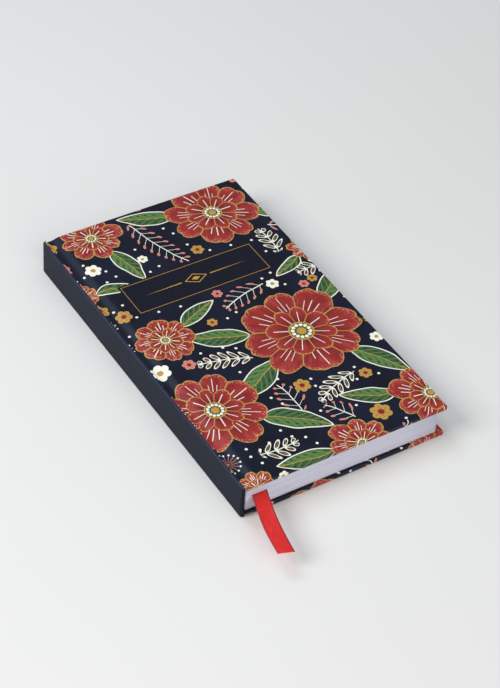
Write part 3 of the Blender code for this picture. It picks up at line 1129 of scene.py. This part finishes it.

# %% [markdown]
# The spine's paper has no film and no print. It is a plain dark sheet with fine fibres, and a paler
# bluish line along both shoulders is a painted highlight, where the rounded edges catch the light.
# One dark colour would look like plastic, so the fibres are a noise stretched lengthwise.

# %% Plain finish of the spine
def spine_paper():
    """Plain dark sheet: a slow mottle, lengthwise fibres and a painted highlight line at each shoulder."""
    finish = Finish("spine_paper", Specular_IOR_Level=0.08)
    x, y, z = finish.place()
    spot = finish.point(x, y, z)
    mottle = finish.noise(spot, 0.05, 3.0)
    fibre = finish.noise(finish.point(x, y * 0.35, z), 3.2, 3.0, 0.6)
    colour = finish.mix(ink(16, 23, 37), ink(24, 30, 44), mottle.step(0.3, 0.7))
    colour = finish.mix(colour, ink(38, 44, 57), fibre.step(0.5, 0.8) * 0.3)
    depth = THICK * 0.5 - abs(z - THICK * 0.5)
    # Painted highlight: a paler bluish line on each shoulder's curve, where the rounded edge catches the
    # light.
    shoulder_highlight = (depth - 0.30).line(0.22, 0.16) * (x - SPINE_FACE < SEAM)
    colour = finish.mix(colour, ink(70, 76, 104), shoulder_highlight * 0.55)
    finish.set("Base Color", colour)
    finish.set("Roughness", mottle * 0.10 + fibre * 0.08 + 0.38)
    finish.bump(finish.noise(spot, 2.6, 2.0), 0.008)
    return finish


dress([spine_slab], spine_paper())

# %% [markdown]
# ## Pages and endpapers
# The leaves are uncoated, a cool white, and their cut edges show faint streaks where one leaf
# catches more light than the next. Inside, the pages are ruled for entries. The rules could be thin
# pieces, but ink has no height, so they are lines in the finish.

# %% Page paper and endpaper
RULE_PITCH = 8.0
FIELD_START = 10.0
FIELD_MARGIN = 8.0
RULED_HALF = 62.0
HEAD_RULE = 68.0
HEAD_HAIRLINE = 69.2
MARGIN_RULE = 22.0
MARGIN_HALF = 64.0


def page_paper():
    """Cool white: streaks a leaf thick on the cut edges, fibres, and pale ruled lines inside."""
    finish = Finish("page_paper", Specular_IOR_Level=0.25)
    x, y, z = finish.place()
    streak = finish.noise(finish.point(x * 0.012, y * 0.012, z * 4.5), 1.0, 3.0, 0.6)
    fibre = finish.noise(finish.point(x, y, z), 1.4, 3.0, 0.6)
    colour = finish.mix(ink(211, 210, 226), ink(233, 232, 245), streak.step(0.34, 0.66))
    colour = finish.mix(colour, ink(210, 207, 218), fibre.step(0.45, 0.8) * 0.35)
    reach = x - SPINE_FACE
    field = (reach - FIELD_START).step(0.0, 0.2) * (PAGE_OUT - FIELD_MARGIN - reach).step(0.0, 0.2)
    rows = ((y - 0.5 * RULE_PITCH) * (1.0 / RULE_PITCH)).fract() * RULE_PITCH - 0.5 * RULE_PITCH
    ruled = rows.line(0.12, 0.04) * (RULED_HALF - abs(y)).step(0.0, 0.2) * field
    head = (y - HEAD_RULE).line(0.22, 0.05).larger((y - HEAD_HAIRLINE).line(0.10, 0.04)) * field
    margin = (reach - MARGIN_RULE).line(0.10, 0.04) * (MARGIN_HALF - abs(y)).step(0.0, 0.2)
    colour = finish.mix(colour, ink(160, 158, 186), ruled.larger(head).larger(margin) * 0.8)
    finish.set("Base Color", colour)
    finish.set("Roughness", fibre * 0.12 + 0.74)
    finish.bump(fibre, 0.010)
    return finish


def endpaper():
    """Plain stout sheet with a soft fibre mottle."""
    finish = Finish("endpaper", Specular_IOR_Level=0.25)
    x, y, z = finish.place()
    spot = finish.point(x, y, z)
    cloud = finish.noise(spot, 0.09, 4.0, 0.6)
    fibre = finish.noise(spot, 1.1, 3.0, 0.6)
    colour = finish.mix(ink(222, 217, 228), ink(240, 236, 242), cloud.step(0.35, 0.65))
    colour = finish.mix(colour, ink(206, 200, 212), fibre.step(0.62, 0.8) * 0.3)
    finish.set("Base Color", colour)
    finish.set("Roughness", fibre * 0.12 + 0.70)
    finish.bump(fibre, 0.012)
    return finish


dress(sections, page_paper())
endpaper_nodes = ("front_pastedown", "back_pastedown", "front_flyleaf", "back_flyleaf")
dress([frame["nodes"][node] for node in endpaper_nodes], endpaper())

# %% [markdown]
# ## Boards and lining
# The greyboard is pressed waste paper, full of darker and paler specks, which two noises give. The
# lining is an open gauze, glued flat. Its threads could be modelled, but it is hidden behind the
# leaves, so two sine waves a thread apart stand for them.

# %% Greyboard and gauze
THREAD = 1.1


def greyboard():
    """Grey pulp with specks and a layered edge."""
    finish = Finish("greyboard", Specular_IOR_Level=0.2)
    x, y, z = finish.place()
    spot = finish.point(x, y, z)
    pulp = finish.noise(spot, 0.7, 4.0, 0.65)
    specks = finish.noise(spot, 2.4, 2.0, 0.5)
    colour = finish.mix(ink(150, 146, 138), ink(178, 173, 164), pulp.step(0.35, 0.65))
    colour = finish.mix(colour, ink(92, 88, 84), specks.step(0.66, 0.74) * 0.7)
    finish.set("Base Color", colour)
    finish.set("Roughness", pulp * 0.1 + 0.8)
    finish.bump(pulp, 0.03)
    return finish


def gauze():
    """Crossed threads: the larger of two sine waves, darker in the meshes between."""
    finish = Finish("gauze", Specular_IOR_Level=0.2)
    x, y, z = finish.place()
    warp = abs((y * (math.pi / THREAD)).sin())
    weft = abs((z * (math.pi / THREAD)).sin())
    thread = warp.larger(weft)
    colour = finish.mix(ink(150, 140, 118), ink(226, 221, 205), thread.step(0.55, 0.92))
    finish.set("Base Color", colour)
    finish.set("Roughness", 0.95 - thread * 0.15)
    finish.bump(thread, 0.08)
    return finish


dress(boards, greyboard())
dress([frame["nodes"]["spine_lining"]], gauze())

# %% [markdown]
# ## Satin
# Satin floats its long threads on one face, so it shines along the ribbon and shows fine lines
# lengthwise. Both edges have a firm woven selvedge, a little darker than the face. The threads are
# too fine to model, so a noise drawn out along the strip's own flat place gives them.

# %% Satin of the ribbon
RIB = 0.42
SELVEDGE = 2.75


def satin():
    """Red floats: fine lengthwise lines, cross ribs, a darker selvedge and a soft sheen."""
    finish = Finish("satin", Specular_IOR_Level=0.6, Sheen_Weight=0.15, Sheen_Roughness=0.4)
    across, along = finish.sheet_place()
    lines = finish.noise(finish.point(across * 6.0, along * 0.25), 1.0, 3.0, 0.6)
    ribs = ((along * (TURN / RIB)).sin() + 1.0) * 0.5
    cloud = finish.noise(finish.point(across * 0.4, along * 0.16), 1.0, 2.0)
    edge = (abs(across) - SELVEDGE).step(0.0, 0.25)
    colour = finish.mix(ink(198, 16, 16), ink(226, 34, 28), lines.step(0.3, 0.7))
    colour = finish.mix(colour, ink(234, 58, 48), cloud.step(0.52, 0.75) * 0.45)
    colour = finish.mix(colour, ink(156, 10, 18), edge * 0.9)
    finish.set("Base Color", colour)
    finish.set("Roughness", lines * 0.16 + edge * 0.15 + 0.28)
    finish.bump(lines * 0.7 + ribs * 0.3 + edge * 0.8, 0.03)
    return finish


dress([ribbon], satin())

# %% [markdown]
# ## Floor and light
# A pale background alone would leave the book hanging in the air. A floor takes its shadow, a hair
# below the book, so that the two don't share a plane.

# %% Floor
FLOOR_HALF = 1.6
FLOOR_DROP = 0.02
floor_span = np.array((-FLOOR_HALF, FLOOR_HALF)) / MM
floor_points = to_frame(floor_span[None, :] - SPINE_FACE, floor_span[:, None], -FLOOR_DROP)
floor = piece_from_grids("floor", [floor_points])
floor_finish = Finish("floor", Roughness=0.9, Specular_IOR_Level=0.1)
floor_cloud = floor_finish.noise(floor_finish.point(*floor_finish.place()[:2]), 0.004, 2.0)
floor_finish.set("Base Color", floor_finish.mix(ink(226, 225, 221), ink(232, 231, 228), floor_cloud))
dress([floor], floor_finish)

# %% [markdown]
# One soft lamp stands on the spine's side, as in the photograph, and a broad one faces the tail. A
# small cool one behind the head lights the slope of the crease, and an even world fills the rest. Sun
# lamps could do as well, but area lamps give the soft edge of the shadow.

# %% Lamps and world
WHITE = (1.0, 1.0, 1.0)
COOL = (0.66, 0.80, 1.0)
WORLD_LEVEL = 0.315


def lamp(name, place, size, power, tint=WHITE):
    """Square area lamp at a place, aimed at the middle of the frame."""
    light = bpy.data.lights.new(name, 'AREA')
    light.size = size
    light.energy = power
    light.color = tint
    made = bpy.data.objects.new(name, light)
    bpy.context.scene.collection.objects.link(made)
    back = np.array(place) / np.linalg.norm(place)
    side = np.cross((0.0, 0.0, 1.0), back)
    side = side / np.linalg.norm(side)
    turn = np.eye(4)
    turn[:3, 0], turn[:3, 1], turn[:3, 2], turn[:3, 3] = side, np.cross(back, side), back, place
    made.matrix_world = Matrix(turn.tolist())
    print("lamp", name, power, "W")


lamp("key", (-0.95, 0.05, 0.85), 0.6, 9.6)
lamp("fill", (-0.1, -1.3, 0.9), 1.2, 10.3)
lamp("back", (-0.25, 0.72, 1.15), 0.5, 4.4, COOL)
world = bpy.data.worlds.new("studio")
world.use_nodes = True
sky = world.node_tree.nodes["Background"]
sky.inputs["Color"].default_value = (*WHITE, 1.0)
sky.inputs["Strength"].default_value = WORLD_LEVEL
bpy.context.scene.world = world
bpy.context.scene.view_settings.view_transform = 'Standard'
